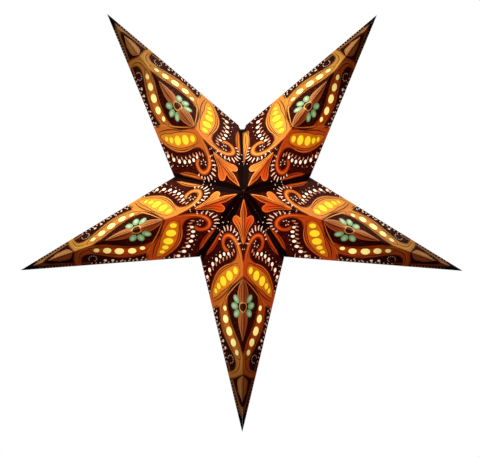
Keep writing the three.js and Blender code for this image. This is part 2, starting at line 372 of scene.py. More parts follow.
def give(tree, node, values):
    """Fills a node's inputs by name, each with a number, a colour or another's output."""
    for label, value in values.items():
        if isinstance(value, bpy.types.NodeSocket):
            tree.links.new(value, node.inputs[label])
        else:
            node.inputs[label].default_value = value
    return node


def calc(tree, operation, *values):
    """A Math node on numbers or sockets."""
    node = add_node(tree, "Math", operation=operation)
    for socket, value in zip(node.inputs, values):
        if isinstance(value, bpy.types.NodeSocket):
            tree.links.new(value, socket)
        else:
            socket.default_value = value
    return node.outputs[0]


def length_of(tree, vector):
    node = add_node(tree, "VectorMath", operation="LENGTH")
    return give(tree, node, {"Vector": vector}).outputs["Value"]


def blend(tree, factor, first, second):
    """A colour that goes from the first to the second."""
    node = add_node(tree, "Mix", data_type="RGBA")
    return give(tree, node, {"Factor": factor, "A": first, "B": second}).outputs["Result"]


def tinted(tree, colour, amount):
    """A colour socket made brighter or darker by a number socket."""
    node = add_node(tree, "VectorMath", operation="SCALE")
    return give(tree, node, {"Vector": colour, "Scale": amount}).outputs[0]


def curve_of(tree, value, stops):
    """A smooth grey ramp through (place, brightness) stops."""
    ramp = add_node(tree, "ValToRGB")
    ramp.color_ramp.interpolation = "EASE"
    elements = ramp.color_ramp.elements
    while len(elements) < len(stops):
        elements.new(0.5)
    for element, (place, bright) in zip(elements, stops):
        element.position = place
        element.color = (bright, bright, bright, 1.0)
    tree.links.new(value, ramp.inputs["Fac"])
    return ramp.outputs["Color"]


def new_group(name, inputs, outputs):
    tree = bpy.data.node_groups.new(name, "ShaderNodeTree")
    for label, kind, default in inputs:
        socket = tree.interface.new_socket(name=label, in_out="INPUT", socket_type=kind)
        socket.default_value = default
    for label, kind in outputs:
        tree.interface.new_socket(name=label, in_out="OUTPUT", socket_type=kind)
    return tree, tree.nodes.new("NodeGroupInput").outputs, tree.nodes.new("NodeGroupOutput")


def noise(tree, place, scale, detail=3.0):
    return give(tree, add_node(tree, "TexNoise"), {
        "Vector": place, "Scale": scale, "Detail": detail}).outputs["Fac"]


def make_lit_paper():
    """Paper with the bulb's light through it painted on as glow, brightest round the bulb, with
    fibres and uneven ink.
    """
    tree, given, made = new_group(
        "lit paper",
        [("Paint", "NodeSocketColor", (0.8, 0.5, 0.2, 1.0)),
         ("Glow", "NodeSocketColor", (1.0, 0.1, 0.02, 1.0)),
         ("Unevenness", "NodeSocketFloat", 0.3),
         ("Specks", "NodeSocketFloat", 0.0)],
        [("Color", "NodeSocketColor"), ("Glow", "NodeSocketColor"),
         ("Roughness", "NodeSocketFloat"), ("Height", "NodeSocketFloat")])
    place = add_node(tree, "TexCoord").outputs["Object"]
    flat = give(tree, add_node(tree, "Mapping"), {
        "Vector": place, "Location": (0.0, 0.0, -star_centre.z), "Scale": (1.0, 0.0, 1.0)})
    share = calc(tree, "DIVIDE", length_of(tree, flat.outputs[0]), TIP_RADIUS * MM)
    # Painted light: the glow fades from the bulb in the middle to nothing at the tips.
    painted_glow_falloff = curve_of(tree, share, [
        (0.0, 0.75), (0.12, 0.70), (0.28, 0.44), (0.5, 0.28), (0.75, 0.10), (0.87, 0.06),
        (0.97, 0.0)])
    # The paint is darker towards the tips.
    darker_to_tips = curve_of(tree, share, [
        (0.0, 1.0), (0.55, 1.0), (0.8, 0.66), (0.9, 0.6), (1.0, 0.22)])
    cloud, grain = noise(tree, place, 55.0), noise(tree, place, 900.0, 5.0)
    spread = calc(tree, "SUBTRACT", calc(tree, "ADD", cloud, grain), 1.0)
    uneven = calc(tree, "ADD", calc(tree, "MULTIPLY", spread, given["Unevenness"]), 1.0)
    cells = give(tree, add_node(tree, "TexVoronoi"), {"Vector": place, "Scale": 380.0})
    dots = calc(tree, "LESS_THAN", cells.outputs["Distance"], 0.26)
    speck = calc(tree, "MULTIPLY", dots, given["Specks"])
    paint = blend(tree, speck, given["Paint"], (0.30, 0.07, 0.035, 1.0))
    glow = blend(tree, speck, given["Glow"], (0.35, 0.06, 0.035, 1.0))
    give(tree, made, {
        "Color": tinted(tree, paint, calc(tree, "MULTIPLY", darker_to_tips, uneven)),
        "Glow": tinted(tree, glow, calc(tree, "MULTIPLY", painted_glow_falloff, uneven)),
        "Roughness": calc(tree, "ADD", calc(tree, "MULTIPLY", grain, 0.3), 0.42),
        "Height": calc(tree, "ADD", calc(tree, "MULTIPLY", cloud, 0.7), grain)})
    return tree


lit_paper = make_lit_paper()


def new_material(name):
    material = bpy.data.materials.new(name)
    material.use_nodes = True
    return material, material.node_tree, material.node_tree.nodes["Principled BSDF"]


def bump_from(tree, shader, height, strength, distance):
    bump = give(tree, add_node(tree, "Bump"), {
        "Strength": strength, "Distance": distance, "Height": height})
    tree.links.new(bump.outputs["Normal"], shader.inputs["Normal"])


def paper(name, paint, glow, unevenness=0.3, specks=0.0, sheen=0.12, strength=1.0):
    material, tree, shader = new_material(name)
    made = give(tree, add_node(tree, "Group", node_tree=lit_paper), {
        "Paint": (*paint, 1.0), "Glow": (*glow, 1.0), "Unevenness": unevenness,
        "Specks": specks}).outputs
    give(tree, shader, {
        "Base Color": made["Color"], "Emission Color": made["Glow"],
        "Roughness": made["Roughness"], "Emission Strength": strength,
        "Specular IOR Level": sheen})
    bump_from(tree, shader, made["Height"], 0.35, 0.0004)
    return material


# Each ink has its paint colour and a painted glow, standing for the bulb's light through the card.
card_ink = {
    "ground": paper("maroon card", (0.030, 0.006, 0.003), (0.062, 0.003, 0.001), 0.8, 0.45, 0.02),
    "umber": paper("umber line ink", (0.11, 0.035, 0.008), (0.09, 0.006, 0.001)),
    "russet": paper("russet ink", (0.38, 0.15, 0.025), (0.38, 0.022, 0.002)),
    "orange": paper("orange ink", (0.74, 0.38, 0.055), (0.98, 0.075, 0.007)),
    "amber": paper("amber ink", (0.80, 0.48, 0.06), (1.35, 0.27, 0.010)),
    "flame": paper("flame ink", (0.85, 0.53, 0.12), (1.25, 0.24, 0.025)),
    "gold": paper("gold line ink", (0.85, 0.60, 0.20), (1.2, 0.42, 0.09)),
    "salmon": paper("salmon ink", (0.68, 0.34, 0.11), (0.88, 0.15, 0.032)),
    "leaf": paper("dark green ink", (0.08, 0.11, 0.05), (0.08, 0.12, 0.045)),
    "mint": paper("mint ink", (0.34, 0.50, 0.29), (0.50, 0.84, 0.36)),
    "dew": paper("pale mint ink", (0.56, 0.70, 0.44), (0.95, 1.30, 0.66)),
    "rose": paper("rose ink", (0.56, 0.25, 0.075), (0.66, 0.085, 0.014)),
    "blush": paper("blush ink", (0.80, 0.46, 0.30), (1.40, 0.42, 0.20)),
    "cream": paper("cream ink", (0.85, 0.68, 0.52), (1.6, 0.95, 0.66)),
    # black ink, printed on the tips and also laid along the valleys as painted shade
    "black_print_and_shade": paper("black ink and painted shade", (0.011, 0.0055, 0.0045), (0.006, 0.001, 0.001), 0.5, 0.0, 0.02),
}
# The tissue glows with painted light, the bulb shining through it; the inside faces glow only
# faintly.
tissue_tint = {
    "yellow": paper("yellow tissue", (0.80, 0.55, 0.04), (1.0, 0.68, 0.022), 0.12, 0.0, 0.1, 2.5),
    "cream": paper("cream tissue", (0.85, 0.75, 0.40), (1.0, 0.80, 0.24), 0.12, 0.0, 0.1, 3.8),
    "white": paper("white tissue", (0.85, 0.78, 0.62), (1.0, 0.78, 0.56), 0.12, 0.0, 0.1, 2.6),
    "inside": paper("inner tissue", (0.62, 0.42, 0.20), (0.05, 0.02, 0.006), 0.3, 0.0, 0.1),
}
glue_border = paper("glued border", (0.03, 0.010, 0.006), (0.0, 0.0, 0.0), 0.4, 0.0, 0.05)


def make_wear():
    """Fine grain with a slow cloud under it, for moulded, metal and spun surfaces."""
    tree, given, made = new_group(
        "grain and wear",
        [("Colour", "NodeSocketColor", (0.5, 0.5, 0.5, 1.0)),
         ("Worn colour", "NodeSocketColor", (0.6, 0.6, 0.6, 1.0)),
         ("Grain size", "NodeSocketFloat", 900.0),
         ("Roughness", "NodeSocketFloat", 0.5)],
        [("Color", "NodeSocketColor"), ("Roughness", "NodeSocketFloat"),
         ("Height", "NodeSocketFloat")])
    place = add_node(tree, "TexCoord").outputs["Object"]
    cloud, fine = noise(tree, place, 130.0, 4.0), noise(tree, place, given["Grain size"], 4.0)
    mask = calc(tree, "MULTIPLY", cloud, fine)
    rubbed = calc(tree, "MULTIPLY", mask, 2.4)
    give(tree, made, {
        "Color": blend(tree, rubbed, given["Colour"], given["Worn colour"]),
        "Roughness": calc(tree, "ADD", calc(tree, "MULTIPLY", mask, 0.35), given["Roughness"]),
        "Height": fine})
    return tree


grain_and_wear = make_wear()


def worn(name, colour, worn_colour, grain, roughness, metal=0.0, bump=0.15):
    material, tree, shader = new_material(name)
    made = give(tree, add_node(tree, "Group", node_tree=grain_and_wear), {
        "Colour": (*colour, 1.0), "Worn colour": (*worn_colour, 1.0), "Grain size": grain,
        "Roughness": roughness}).outputs
    give(tree, shader, {
        "Base Color": made["Color"], "Roughness": made["Roughness"], "Metallic": metal})
    bump_from(tree, shader, made["Height"], bump, 0.0002)
    return material


def make_glass():
    """Clear glass with faint waviness, from the way such bulbs are blown."""
    material, tree, shader = new_material("blown glass")
    place = add_node(tree, "TexCoord").outputs["Object"]
    clear, warm = (1.0, 0.97, 0.90, 1.0), (1.0, 0.93, 0.80, 1.0)
    give(tree, shader, {
        "Base Color": blend(tree, noise(tree, place, 30.0), clear, warm),
        "Roughness": calc(tree, "MULTIPLY", noise(tree, place, 40.0), 0.06),
        "Transmission Weight": 1.0, "IOR": 1.5})
    bump_from(tree, shader, noise(tree, place, 60.0), 0.05, 0.0004)
    return material


def make_hot_wire():
    """A filament that glows unevenly along its coil."""
    material, tree, shader = new_material("hot filament")
    place = add_node(tree, "TexCoord").outputs["Object"]
    orange, yellow = (1.0, 0.42, 0.10, 1.0), (1.0, 0.66, 0.26, 1.0)
    heat = blend(tree, noise(tree, place, 400.0), orange, yellow)
    give(tree, shader, {"Base Color": heat, "Emission Color": heat, "Emission Strength": 1.6})
    return material


black_plastic = worn(
    "black moulded plastic", (0.012, 0.010, 0.009), (0.030, 0.026, 0.023), 700.0, 0.32)
brass = worn("lacquered brass", (0.78, 0.56, 0.22), (0.46, 0.28, 0.09), 1500.0, 0.22, 1.0)
nickel = worn("nickelled brass", (0.70, 0.66, 0.58), (0.40, 0.36, 0.28), 1500.0, 0.25, 1.0)
ceramic = worn("glazed ceramic", (0.78, 0.74, 0.66), (0.62, 0.56, 0.46), 500.0, 0.25)
grey_board = worn("plain card", (0.32, 0.22, 0.13), (0.22, 0.14, 0.08), 1200.0, 0.75, 0.0, 0.4)
string_fibre = worn("cotton string", (0.52, 0.42, 0.30), (0.30, 0.22, 0.14), 2500.0, 0.85, 0.0, 0.6)
solder = worn("solder", (0.55, 0.55, 0.54), (0.30, 0.30, 0.30), 900.0, 0.35, 1.0)
dark_glass = worn("black glass insulator", (0.006, 0.006, 0.010), (0.02, 0.02, 0.02), 500.0, 0.12)
steel = worn("support wire", (0.50, 0.48, 0.46), (0.32, 0.30, 0.28), 1500.0, 0.3, 1.0)
clear_glass = make_glass()
hot_wire = make_hot_wire()

add_camera()
add_softbox("key softbox", (-0.33, -0.46, 0.83), 2.2, 1.1, 46.0, (1.0, 0.96, 0.9))
add_softbox("rear softbox", (0.45, 1.0, 0.9), 2.4, 1.2, 24.0, (1.0, 0.97, 0.93))
add_room()
bpy.context.scene.view_settings.view_transform = "Standard"

# ---------------------------------------------------------------- the printed pattern

# One facet, its ridge along X from the apex to the tip, its notch towards Y. Places are
# millimetres. Points beyond an edge are cut off with it.

S = "sharp"

LEAF_WINDOWS = [(108.3, 16, 4.7), (117.0, 27.8, 6.8), (126.6, 40.3, 6.7), (135.2, 49.4, 4.4),
                (142.6, 55.2, 3.5)]
STEM_WINDOWS = [(163, 36.5, 3.6), (177.5, 35, 5.6), (193, 27.5, 6.3), (207, 19.3, 5.6),
                (219.5, 12.3, 4.0)]
PEARLS = [(87.5, 30, 2.2), (89.5, 38.5, 2.5), (93.7, 46.3, 2.6), (99.5, 54, 2.7),
          (107, 61.5, 2.8), (116, 68, 2.8), (126.5, 72.3, 2.5), (217.5, 35.3, 2.0),
          (208.5, 39.7, 1.8)]

VINE = [
    (113, -2, S), (119.5, 6), (126.5, 16), (134.5, 25), (145, 30), (158, 30.5), (170, 27.5),
    (182, 22), (194, 14), (205, 6.5), (214, 2.5), (222, -2, S),
    (247, -2, S), (251, 7), (256, 17), (260, 32, S), (249, 38, S),
    (247.5, 26), (243.5, 17.5), (237.5, 14.5), (230.5, 15.5), (223, 20.5), (215, 27),
    (206, 34), (196, 40.5), (185, 45), (173, 47.5), (164, 48.5),
    (163, 52), (168, 58), (178, 66, S), (158, 78, S), (146, 67), (139.5, 65), (127.5, 60.5),
    (117.5, 54.5), (110, 46), (103.8, 35.5), (98.2, 24.5), (92, 16.5), (84.5, 13.6),
    (77, 15.4), (70.5, 20), (66.8, 26.5), (67.4, 32.8), (71.8, 36.8), (77, 36.3),
    (80.3, 32.6), (81.8, 28), (85.6, 30.5), (85.6, 37.5), (80, 42.8), (71.5, 44.3),
    (63.3, 40), (59.3, 31.5), (60.0, 21.2), (66.0, 12.2), (75, 6.2), (84, 2.4), (92, 0.6),
    (96, -2, S),
]
LEAF_FIELD = [
    (102.4, 7.6), (109, 6.6), (115.5, 10.4), (126, 21.0), (135.5, 33), (142, 43.2),
    (148.8, 50.6), (154, 61), (144.8, 62.0), (137, 59.6), (128.8, 55.2), (118, 47),
    (108.8, 34.6), (101.6, 21), (99.8, 13),
]
STEM_FIELD = [
    (150, 35.5), (163, 31), (172, 28.8), (184, 25), (197, 17.5), (209, 10.5), (219, 6),
    (228, 5), (225.5, 13.5), (213, 23.5), (200, 32), (187, 38.8), (173, 42.3), (160, 42),
]
PALMETTE = [
    (5, -2, S), (12, 1.4), (20, 4.0), (27, 6.2), (32, 6.4), (35, 5.9), (35.4, 8.4),
    (33.6, 13), (35, 18.6), (39.6, 21.6), (44.6, 19.4), (48, 14.6), (53, 9.8), (60, 6), (67, 3),
    (73, -2, S),
]
SPEAR_IN = [(114, -2, S), (121, 4.5), (129, 8.6), (137, 11), (145, 11.3), (151, 8), (153, -2, S)]
SPEAR_OUT = [(159, -2, S), (163, 6.5), (170, 9.3), (179, 8.8), (188, 5.8), (196, 2.6),
             (205, -2, S)]
TULIP = [(247, -2, S), (251, 3), (256, 9.0), (261, 10.6), (266, 9.6), (273, 8.4), (279, 4.0),
         (289, -2, S)]
FEATHER = [(58, 44.5, S), (65, 46), (74, 50.5), (83, 57), (91, 65), (97, 75, S), (90.5, 72),
           (84, 66.5), (76, 60), (66, 52)]
TIP_CAP = [(309, -2, S), (306, 3), (297, 7), (290, 14, S), (335, 14, S), (335, -2, S)]
TIP_BAND = [(311, -2, S), (303, 4.8), (290, 9.6), (274, 16.2), (255, 24.5), (236, 32),
            (236, 29), (254, 21.5), (268, 15.0), (280, 9.4), (288, 5.6), (295, -2, S)]
TIP_FACE = [(308, -2, S), (300, 4.0), (289, 8.2), (273, 14.6), (262, 19.2), (273, 13.6),
            (284, 9.0), (291, 5.4), (298, -2, S)]
# Painted shade: a black strip along the valley, where the card is doubled behind and keeps the
# light out
PAINTED_VALLEY_SHADE = [(-4, -8, S), (13, 3), (37.5, 20.5), (58, 38), (84, 63), (101, 80), (112, 90, S),
               (96, 100, S), (-12, 6, S)]

LASHES = [(84.5, 16.5), (89.5, 20), (93.5, 25.5), (96.8, 32), (100.2, 39), (104.2, 46),
          (109, 52.5), (115.5, 58.5), (123.5, 63.2), (131.5, 67)]


def lash_marks():
    """Short slanting marks along the lower edge of the leaf."""
    marks = []
    for i, (x, y) in enumerate(LASHES):
        ahead = Vector(LASHES[min(i + 1, len(LASHES) - 1)]) - Vector(LASHES[max(i - 1, 0)])
        ahead.normalize()
        side = Vector((-ahead.y, ahead.x))
        root = Vector((x, y)) + side * 0.6
        tip = root + side * 5.4 - ahead * 2.4
        marks.append(brush([root, (root + tip) / 2 + ahead * 0.7, tip], 2.3, 1.2))
    return marks


def ray_marks():
    """Marks that spread from the outside of the scroll, and a few inside its turn."""
    marks = []
    heart, reach = Vector((73.5, 28.5)), 16.9
    for degrees in range(98, 296, 18):
        long = 8.0 if 150 < degrees < 240 else 4.6
        way = heading(degrees)
        start = heart + way * reach
        bend = Vector((-way.y, way.x)) * 0.8
        marks.append(brush([start, start + way * long / 2 + bend, start + way * long], 2.1, 1.2))
    for degrees in (20, 62, 200, 250, 305):
        spot = heart + Vector((0.6, -1.5)) + heading(degrees) * 4.4
        marks.append(oval(*spot, 1.3, 0.8, math.radians(degrees), 8))
    return marks


# The facet's outer edge, from the tip back to the notch
EDGE_END = 328.2
EDGE_SLOPE = 0.38507


def edge_row(start, pitch, count, margin):
    """Places in a row, a margin inside the outer edge."""
    places = [start + pitch * k for k in range(count)]
    return [(x, (EDGE_END - x) * EDGE_SLOPE - margin) for x in places]


def bead(x, y, wide, tall, degrees=0):
    return oval(x, y, wide, tall, math.radians(degrees), 8)


def edge_beads():
    """A row of beads inside the outer edge, and a ring of them in the curl."""
    marks = [bead(x, y, 1.7, 1.0, 40) for x, y in edge_row(158, 5.2, 17, 3.2)
             if not 240 < x < 262]
    marks += [bead(x, y, 1.5, 0.9, 60) for x, y in edge_row(113, 6.4, 7, 3.4)]
    marks += [bead(x, y, 0.75, 0.75) for x, y in (
        (112, 76), (105, 69.5), (98.5, 62), (93, 54.5), (88, 47), (101.5, 47.5), (96, 40),
        (92.5, 32.5), (50, 33), (47, 40), (58, 47.5), (44.5, 30.5), (121, 79), (131, 75.5),
        (141, 72.0), (149, 70.5))]
    marks += [bead(x, y, 1.1, 0.7, 40) for x, y in edge_row(262, 4.0, 11, 2.4) if y > 1.5]
    for k in range(9):
        spot = Vector((231, 24.4)) + heading(100 + 32 * k) * 5.4
        marks.append(bead(*spot, 0.8, 0.8))
    marks += [oval(x, y, 1.5, 1.1, 0.3, 8) for x, y in (
        (170, 53.2), (179, 51.8), (186.5, 47.6), (197, 45.4))]
    marks += [bead(x, y, 0.8, 0.8) for x, y in (
        (49, 24), (55.5, 15.5), (62, 9.6), (69.5, 5.4), (77, 1.8))]
    return marks


BUD = Vector((155.5, 2.5))  # middle of the flower
PETALS = (130, 87, 45)


def petal(degrees, grow):
    spot = BUD + heading(degrees) * 14.4
    return oval(*spot, 6.4 + grow, 4.5 + grow, math.radians(degrees))


def highlight(degrees):
    """The pale middle of a petal, towards its outer end."""
    spot = BUD + heading(degrees) * 15.4
    return oval(*spot, 3.4, 2.1, math.radians(degrees), 14)


def seam_holes():
    """Eyelet holes beside the back seam."""
    notch = Vector((101.15, 87.43))
    to_apex, inward = -notch.normalized(), Vector((0.654, -0.7565))
    spots = [notch + to_apex * station + inward * EYELET_INSET
             for station in EYELET_STATIONS.values()]
    return [oval(*spot, 2.3, 2.3) for spot in spots]


def windows(rows, grow=0.0):
    return [oval(x, y, r + grow, r + grow, sides=24) for x, y, r in rows]


def print_layers(tied):
    """(name, outlines, heights, material) for each layer of one facet, card first."""
    sheet_outline = [Vector(p) for p in ((-30, -30), (360, -30), (360, 130), (-30, 130))]
    leaf_holes, stem_holes = windows(LEAF_WINDOWS), windows(STEM_WINDOWS)
    pearls = windows(PEARLS, 0.2)
    veins = [
        brush([(66, 2.2), (55, 6.4), (47.5, 11.5), (41, 17.6)], 1.5),
        brush([(62, 1.6), (50, 4.6), (41, 9.5), (37.4, 15)], 1.3),
        brush([(60, 0.9), (40, 2.4), (14, 0.6)], 1.5),
        brush([(36, 4.2), (30, 4.2), (20, 2.6)], 1.1),
        brush([(61, 46.8), (76, 54.5), (93.5, 70.5)], 1.5),
    ][:4 if tied else 5]
    light_lines = [
        brush([(118, 2.5), (128, 14.5), (137, 24), (148, 34.2), (158, 44.5), (167, 56)], 1.5),
        brush([(100, 13), (101, 26), (107, 40), (117, 51.5), (130, 59.5), (143, 64.5)], 1.4),
        brush([(213, 5.5), (226, 2.6), (240, 4.5), (247, 12), (250.5, 23)], 1.5),
        brush([(96, 3), (84, 7.0), (73, 11.8), (64.2, 20.5), (62.4, 30), (66.2, 38.4),
               (73, 41.4)], 1.5),
    ]
    dark_lines = [
        brush([(112, 1), (121, 10), (130, 21.5), (141, 31.2), (150, 36.5), (158, 41.2)], 1.3),
        brush([(126, 21.5), (138, 31.5), (147, 41), (154, 51), (159, 61)], 1.5),
        brush([(96, 6.5), (99, 17), (104, 31), (112, 44.5), (124, 55.2), (139, 61.6)], 1.2),
        brush([(226, 7), (236, 6.6), (244, 10), (248.5, 17.5), (251, 25)], 1.2),
        brush([(154, 31.6), (170, 29.6), (184, 23.8), (198, 15.2), (212, 6.4), (224, 1.2)], 1.1),
        brush([(160, 46.6), (174, 45.4), (188, 40.6), (202, 32.4), (216, 22.2), (226, 15.6)], 1.1),
        brush([(93, 5.8), (84, 9.8), (74, 14.6), (67.4, 22), (65, 30.5), (69, 37.8)], 1.1),
    ]
    lines_on_bud = [
        brush([(254, 1.0), (259, 6.4), (268, 5.4), (281, 0.8)], 1.2),
        brush([(256, 2.2), (263, 4.2), (272, 2.6)], 0.9),
    ]
    spear_veins = [
        brush([(118, 1.0), (130, 2.8), (146, 3.2)], 1.5),
        brush([(122, 3.4), (132, 6.4), (143, 7.8)], 1.0),
        brush([(165, 2.2), (180, 2.8), (198, 0.8)], 1.5),
    ]
    holes = leaf_holes + stem_holes
    card_holes = holes + pearls + (seam_holes() if tied else [])
    vine, palmette, leaf_field = flowing(VINE), flowing(PALMETTE), flowing(LEAF_FIELD)
    stem_field, tulip = flowing(STEM_FIELD), flowing(TULIP)
    spears = [flowing(SPEAR_IN), flowing(SPEAR_OUT)]
    feather = [] if tied else [flowing(FEATHER)]
    feather_face = [inset(outline, 1.2) for outline in feather]
    ink = card_ink
    thin, raised = (-0.11, -0.088), (-0.11, -0.06)
    first, second, third, fourth = (
        (-0.11, -0.075), (-0.085, -0.055), (-0.065, -0.035), (-0.045, -0.015))
    return [
        ("card", [sheet_outline] + card_holes, (-CARD_BACK, -CARD_FACE), ink["ground"]),
        ("vine", [vine] + holes, first, ink["russet"]),
        ("leaf_edges", [palmette], first, ink["flame"]),
        ("spear_edges", [tulip] + spears, first, ink["salmon"]),
        ("tip_band", [flowing(TIP_BAND)], first, ink["russet"]),
        ("feather", feather, first, ink["russet"]),
        ("tip", [flowing(TIP_CAP)], thin, ink["black_print_and_shade"]),
        # painted shade along the valley, in black ink
        ("valley_band", [flowing(PAINTED_VALLEY_SHADE)], thin, ink["black_print_and_shade"]),
        ("lashes", lash_marks(), raised, ink["blush"]),
        ("marks", ray_marks() + edge_beads(), raised, ink["cream"]),
        ("vine_face", [inset(vine, 1.6)] + holes, second, ink["orange"]),
        ("palmette_face", [inset(palmette, 1.1)] + feather_face, second, ink["orange"]),
        ("spear_faces", [inset(outline, 1.1) for outline in spears + [tulip]], second,
         ink["rose"]),
        ("tip_face", [flowing(TIP_FACE)], second, ink["rose"]),
        ("sepals", [petal(PETALS[0], 0.9), petal(PETALS[2], 0.9)], second, ink["leaf"]),
        ("middle_sepal", [petal(PETALS[1], 0.9)], (-0.085, -0.053), ink["leaf"]),
        ("fields", [leaf_field, stem_field] + holes, third, ink["umber"]),
        ("petals", [petal(d, 0.0) for d in PETALS], third, ink["mint"]),
        ("bud_core", [oval(155.5, 1.0, 6.2, 6.2, sides=28)], third, ink["umber"]),
        ("lit_fields", [inset(leaf_field, 0.9)] + leaf_holes, fourth, ink["amber"]),
        ("stem_faces", [inset(stem_field, 0.9)] + stem_holes, fourth, ink["orange"]),
        ("bud_rim", [oval(155.5, 1.0, 7.2, 7.2, sides=28), oval(155.5, 1.0, 5.4, 5.4, sides=28)],
         fourth, ink["gold"]),
        ("highlights", [highlight(d) for d in PETALS], fourth, ink["dew"]),
        ("veins", veins + spear_veins + dark_lines, fourth, ink["umber"]),
        ("light_lines", light_lines + lines_on_bud, (-0.055, -0.02), ink["flame"]),
    ]


# Coloured tissue pasted behind the card, under each row of windows
LEAF_STRIP = [(99, 6), (112, 5), (128, 21), (139, 35), (153, 54), (150, 64), (136, 62),
              (117, 50), (104, 32)]
STEM_STRIP = [(154, 29), (174, 24), (200, 11), (222, 4), (230, 6), (227, 16), (203, 35),
              (180, 46), (156, 44)]
STRIP = (-0.72, -0.58)
LINING_TOP = 0.8
LINING_BACK = 1.0
GLUE_MARGIN = 1.9  # dark glued border of the tissue lining
SEAM_MARGIN = 14.0  # the lining stops this far short of the open seam


def facet_corners():
    """Tip and notch of a facet in its own frame."""
    tip = Vector((math.hypot(TIP_RADIUS, HALF_DEPTH), 0.0, 0.0))
    notch_length = math.hypot(NOTCH_RADIUS, HALF_DEPTH)
    chord = math.sqrt(
        TIP_RADIUS ** 2 + NOTCH_RADIUS ** 2
        - 2 * TIP_RADIUS * NOTCH_RADIUS * math.cos(math.pi / ARMS))
    notch_x = (tip.x ** 2 + notch_length ** 2 - chord ** 2) / (2 * tip.x)
    return tip, Vector((notch_x, math.sqrt(notch_length ** 2 - notch_x ** 2), 0.0))


def facet_planes(relief, seam=0.0):
    """The planes that bound a facet, as (point, outward normal), in its own frame."""
    tip, notch = facet_corners()
    apex, up = Vector(), Vector((0.0, 0.0, 1.0))
    planes = [(Vector((tip.x - TIP_BLUNT, 0.0, 0.0)), Vector((1.0, 0.0, 0.0)))]
    for start, end, lean, fold, extra, taper in (
            (apex, tip, RIDGE_LEAN, 1, relief, 0.0 if relief else GAP_TAPER),
            (tip, notch, EDGE_LEAN, 1, 0.0, 0.0),
            (notch, apex, VALLEY_LEAN, -1, seam, 0.0)):
        along = (end - start).normalized()
        inward = Vector((-along.y, along.x, 0.0))
        cut = inward * math.sin(lean) + up * fold * math.cos(lean)
        outward = -(cut + along * (taper / tip.x)).normalized()
        planes.append((start + cut * HALF_GAP + inward * extra, outward))
    return planes


def build_master(name, relief, tied):
    """One facet, flat in millimetres: card, its inks and the strips behind its windows."""
    layers = print_layers(tied)
    layers += [
        ("leaf_strip", [flowing(LEAF_STRIP)], STRIP, tissue_tint["yellow"]),
        ("stem_strip", [flowing(STEM_STRIP)], STRIP, tissue_tint["cream"]),
    ]
    pieces = []
    for layer, outlines, (low, high), material in layers:
        if not outlines:
            continue
        piece = flat_shapes(f"{name}_{layer}", outlines, low, high, material)
        for point, outward in facet_planes(relief):
            trim(piece, point, outward)
        pieces.append(piece)
    return pieces


def build_lining(name, relief, seam):
    """The tissue behind one facet, with its dark glued border."""
    tip, notch = facet_corners()
    corners = [Vector((0.0, 0.0)), tip.xy, notch.xy]
    middle = sum(corners, Vector((0.0, 0.0))) / 3
    outer = [middle + (corner - middle) * 2 for corner in corners]
    pane = []
    for i, corner in enumerate(corners):
        before, after = corners[i - 1], corners[(i + 1) % 3]
        first, second = (before - corner).normalized(), (after - corner).normalized()
        half = math.acos(first.dot(second)) / 2
        reach = GLUE_MARGIN / math.sin(half)
        pane.append(corner + (first + second).normalized() * reach)
    if seam:
        along = (pane[2] - pane[0]).normalized()
        shift = Vector((along.y, -along.x)) * seam
        crossing = (seam + GLUE_MARGIN) / math.sin(math.atan2(along.y, along.x))
        pane[0] = Vector((crossing, pane[0].y))
        pane[2] = pane[2] + shift + (tip.xy - notch.xy).normalized() * 2.0
    pieces = []
    for part, outlines, material in (
            ("pane", [pane], tissue_tint["white"]), ("border", [outer, pane], glue_border)):
        piece = flat_shapes(f"{name}_{part}", outlines, -LINING_BACK, -LINING_TOP, material)
        for point, outward in facet_planes(relief, seam):
            trim(piece, point, outward)
        pieces.append(piece)
    pieces[0].data.materials.append(tissue_tint["inside"])
    for face in pieces[0].data.polygons:
        if face.normal.z < -0.5:
            face.material_index = 1
    return pieces


def crease_point(index):
    angle = math.pi / ARMS * index
    radius = TIP_RADIUS if index % 2 else NOTCH_RADIUS
    return CENTRE + Vector((radius * math.sin(angle), 0.0, radius * math.cos(angle)))


def facet_place(sector, face):
    """A facet's frame: X along its ridge, Y to its notch, Z out of the star."""
    apex = CENTRE + Vector((0.0, face * HALF_DEPTH, 0.0))
    ridge, valley = (sector - 1, sector) if sector % 2 == 0 else (sector, sector - 1)
    tip, notch = crease_point(ridge), crease_point(valley)
    x = (tip - apex).normalized()
    y = (notch - apex)
    y = (y - x * y.dot(x)).normalized()
    z = x.cross(y)
    mirrored = z.y * face < 0
    if mirrored:
        z.negate()
    place = Matrix((x, y, z)).transposed().to_4x4()
    place.translation = apex
    return Matrix.Scale(MM, 4) @ place, mirrored


GLAND_HOLE = 4.8
PUNCH_LENGTH = 45.0


def cut_for_gland(card):
    """Clears the corner of a seam panel, or of an ink on it, round the cord gland."""
    bpy.ops.mesh.primitive_cylinder_add(
        vertices=48, radius=GLAND_HOLE * MM, depth=PUNCH_LENGTH * MM, location=(0.0, 0.0, 0.0))
    punch = bpy.context.active_object
    only(card)
    cut = card.modifiers.new("gland", "BOOLEAN")
    cut.operation = "DIFFERENCE"
    cut.solver = "EXACT"
    cut.object = punch
    bpy.ops.object.modifier_apply(modifier=cut.name)
    discard(punch)


def place_facet(master, name, sector, face):
    """A copy of a flat master on its facet of the star, as one piece."""
    place, mirrored = facet_place(sector, face)
    parts = []
    for index, layer in enumerate(master):
        twin = copy_of(layer, f"{name}_{index}")
        twin.matrix_world = place
        settle(twin)
        if mirrored:
            face_out(twin)
        if sector in SEAM_SECTORS and layer.name.endswith(("_card", "_valley_band")):
            cut_for_gland(twin)
        parts.append(twin)
    return join(parts, name)


